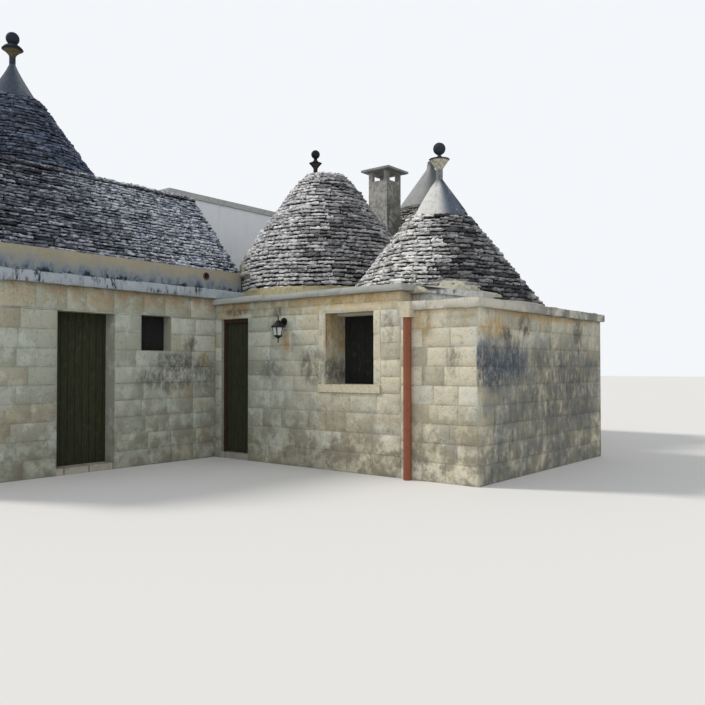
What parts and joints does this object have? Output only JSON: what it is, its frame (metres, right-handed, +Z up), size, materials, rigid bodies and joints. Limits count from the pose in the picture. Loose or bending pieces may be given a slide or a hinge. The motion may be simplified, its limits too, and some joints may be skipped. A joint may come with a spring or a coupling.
{
  "type": "trullo house",
  "caption": "Dry-stone trullo house with a tall cone, a gabled wing roof, a bell dome, two smaller cones, a chimney and a hinged court door.",
  "frame": {"origin": "middle of the house's outline, on the level ground it stands on", "axes": "+X runs right along the court face, +Y runs from the front to the back of the house, +Z is up"},
  "size_m": [12.1, 13.66, 7.844],
  "materials": {
    "tufa_wall": "lime-washed tufa blocks, weathered, with ochre stains",
    "cornice_slab": "weathered limestone slabs with dark drips and lichen",
    "terrace_render": "weathered lime render",
    "clay": "matt terracotta",
    "roof_stone": "rough dry-laid limestone slates with lichen",
    "cap_render": "smooth weathered lime render",
    "dark_pinnacle": "stone blackened by weather",
    "pale_pinnacle": "weathered limestone with a dark rim",
    "door_wood": "painted boards, matt olive brown",
    "shutter_wood": "dark painted boards, matt",
    "frame_wood": "painted wood, matt reddish brown",
    "iron": "black paint, satin",
    "dressed_stone": "dressed pale limestone",
    "chimney_render": "weathered lime render",
    "white_render": "white lime wash, matt",
    "floor_stone": "pale limestone flags"
  },
  "bodies": {
    "house": {"main_wall_south": "tufa_wall", "main_wall_over_door": "tufa_wall", "main_wall_north": "tufa_wall", "main_side_walls": "tufa_wall", "main_inner_wall": "tufa_wall", "main_cornice": "cornice_slab", "main_roof_deck": "terrace_render", "clay_vent": "clay", "gable_roof": "roof_stone", "main_cone": "roof_stone", "main_cone_cap": "cap_render", "main_pinnacle": "dark_pinnacle", "main_door": "door_wood", "window_shutters": "shutter_wood", "court_wall_corner": "tufa_wall", "court_lintel": "tufa_wall", "court_window_wall": "tufa_wall", "court_side_wall": "tufa_wall", "court_inner_wall": "tufa_wall", "lower_roof_slab": "cornice_slab", "upper_roof_slab": "terrace_render", "court_cornice": "cornice_slab", "sloping_coping": "cornice_slab", "court_door_frame": "frame_wood", "door_pins": "iron", "window_surround": "dressed_stone", "window_sill": "dressed_stone", "lantern": "iron", "drainpipe": "clay", "rain_box": "dressed_stone", "bell_dome": "roof_stone", "bell_pinnacle": "dark_pinnacle", "corner_cone": "roof_stone", "corner_cone_cap": "cap_render", "corner_pinnacle": "pale_pinnacle", "chimney_shaft": "chimney_render", "chimney_cap": "chimney_render", "rear_walls": "tufa_wall", "rear_roof_slab": "cornice_slab", "rear_cone": "roof_stone", "white_side_walls": "white_render", "white_end_walls": "white_render", "white_roof": "cornice_slab", "ground_floor": "floor_stone"},
    "door_leaf": {"court_door": "door_wood"}
  },
  "joints": [
    {"name": "court_door_hinge", "type": "hinge", "parent": "house", "child": "door_leaf", "pos_m": [0.851, -1.475, 0.1], "axis": [0, 0, 1], "range_deg": [0, 90]}
  ]
}
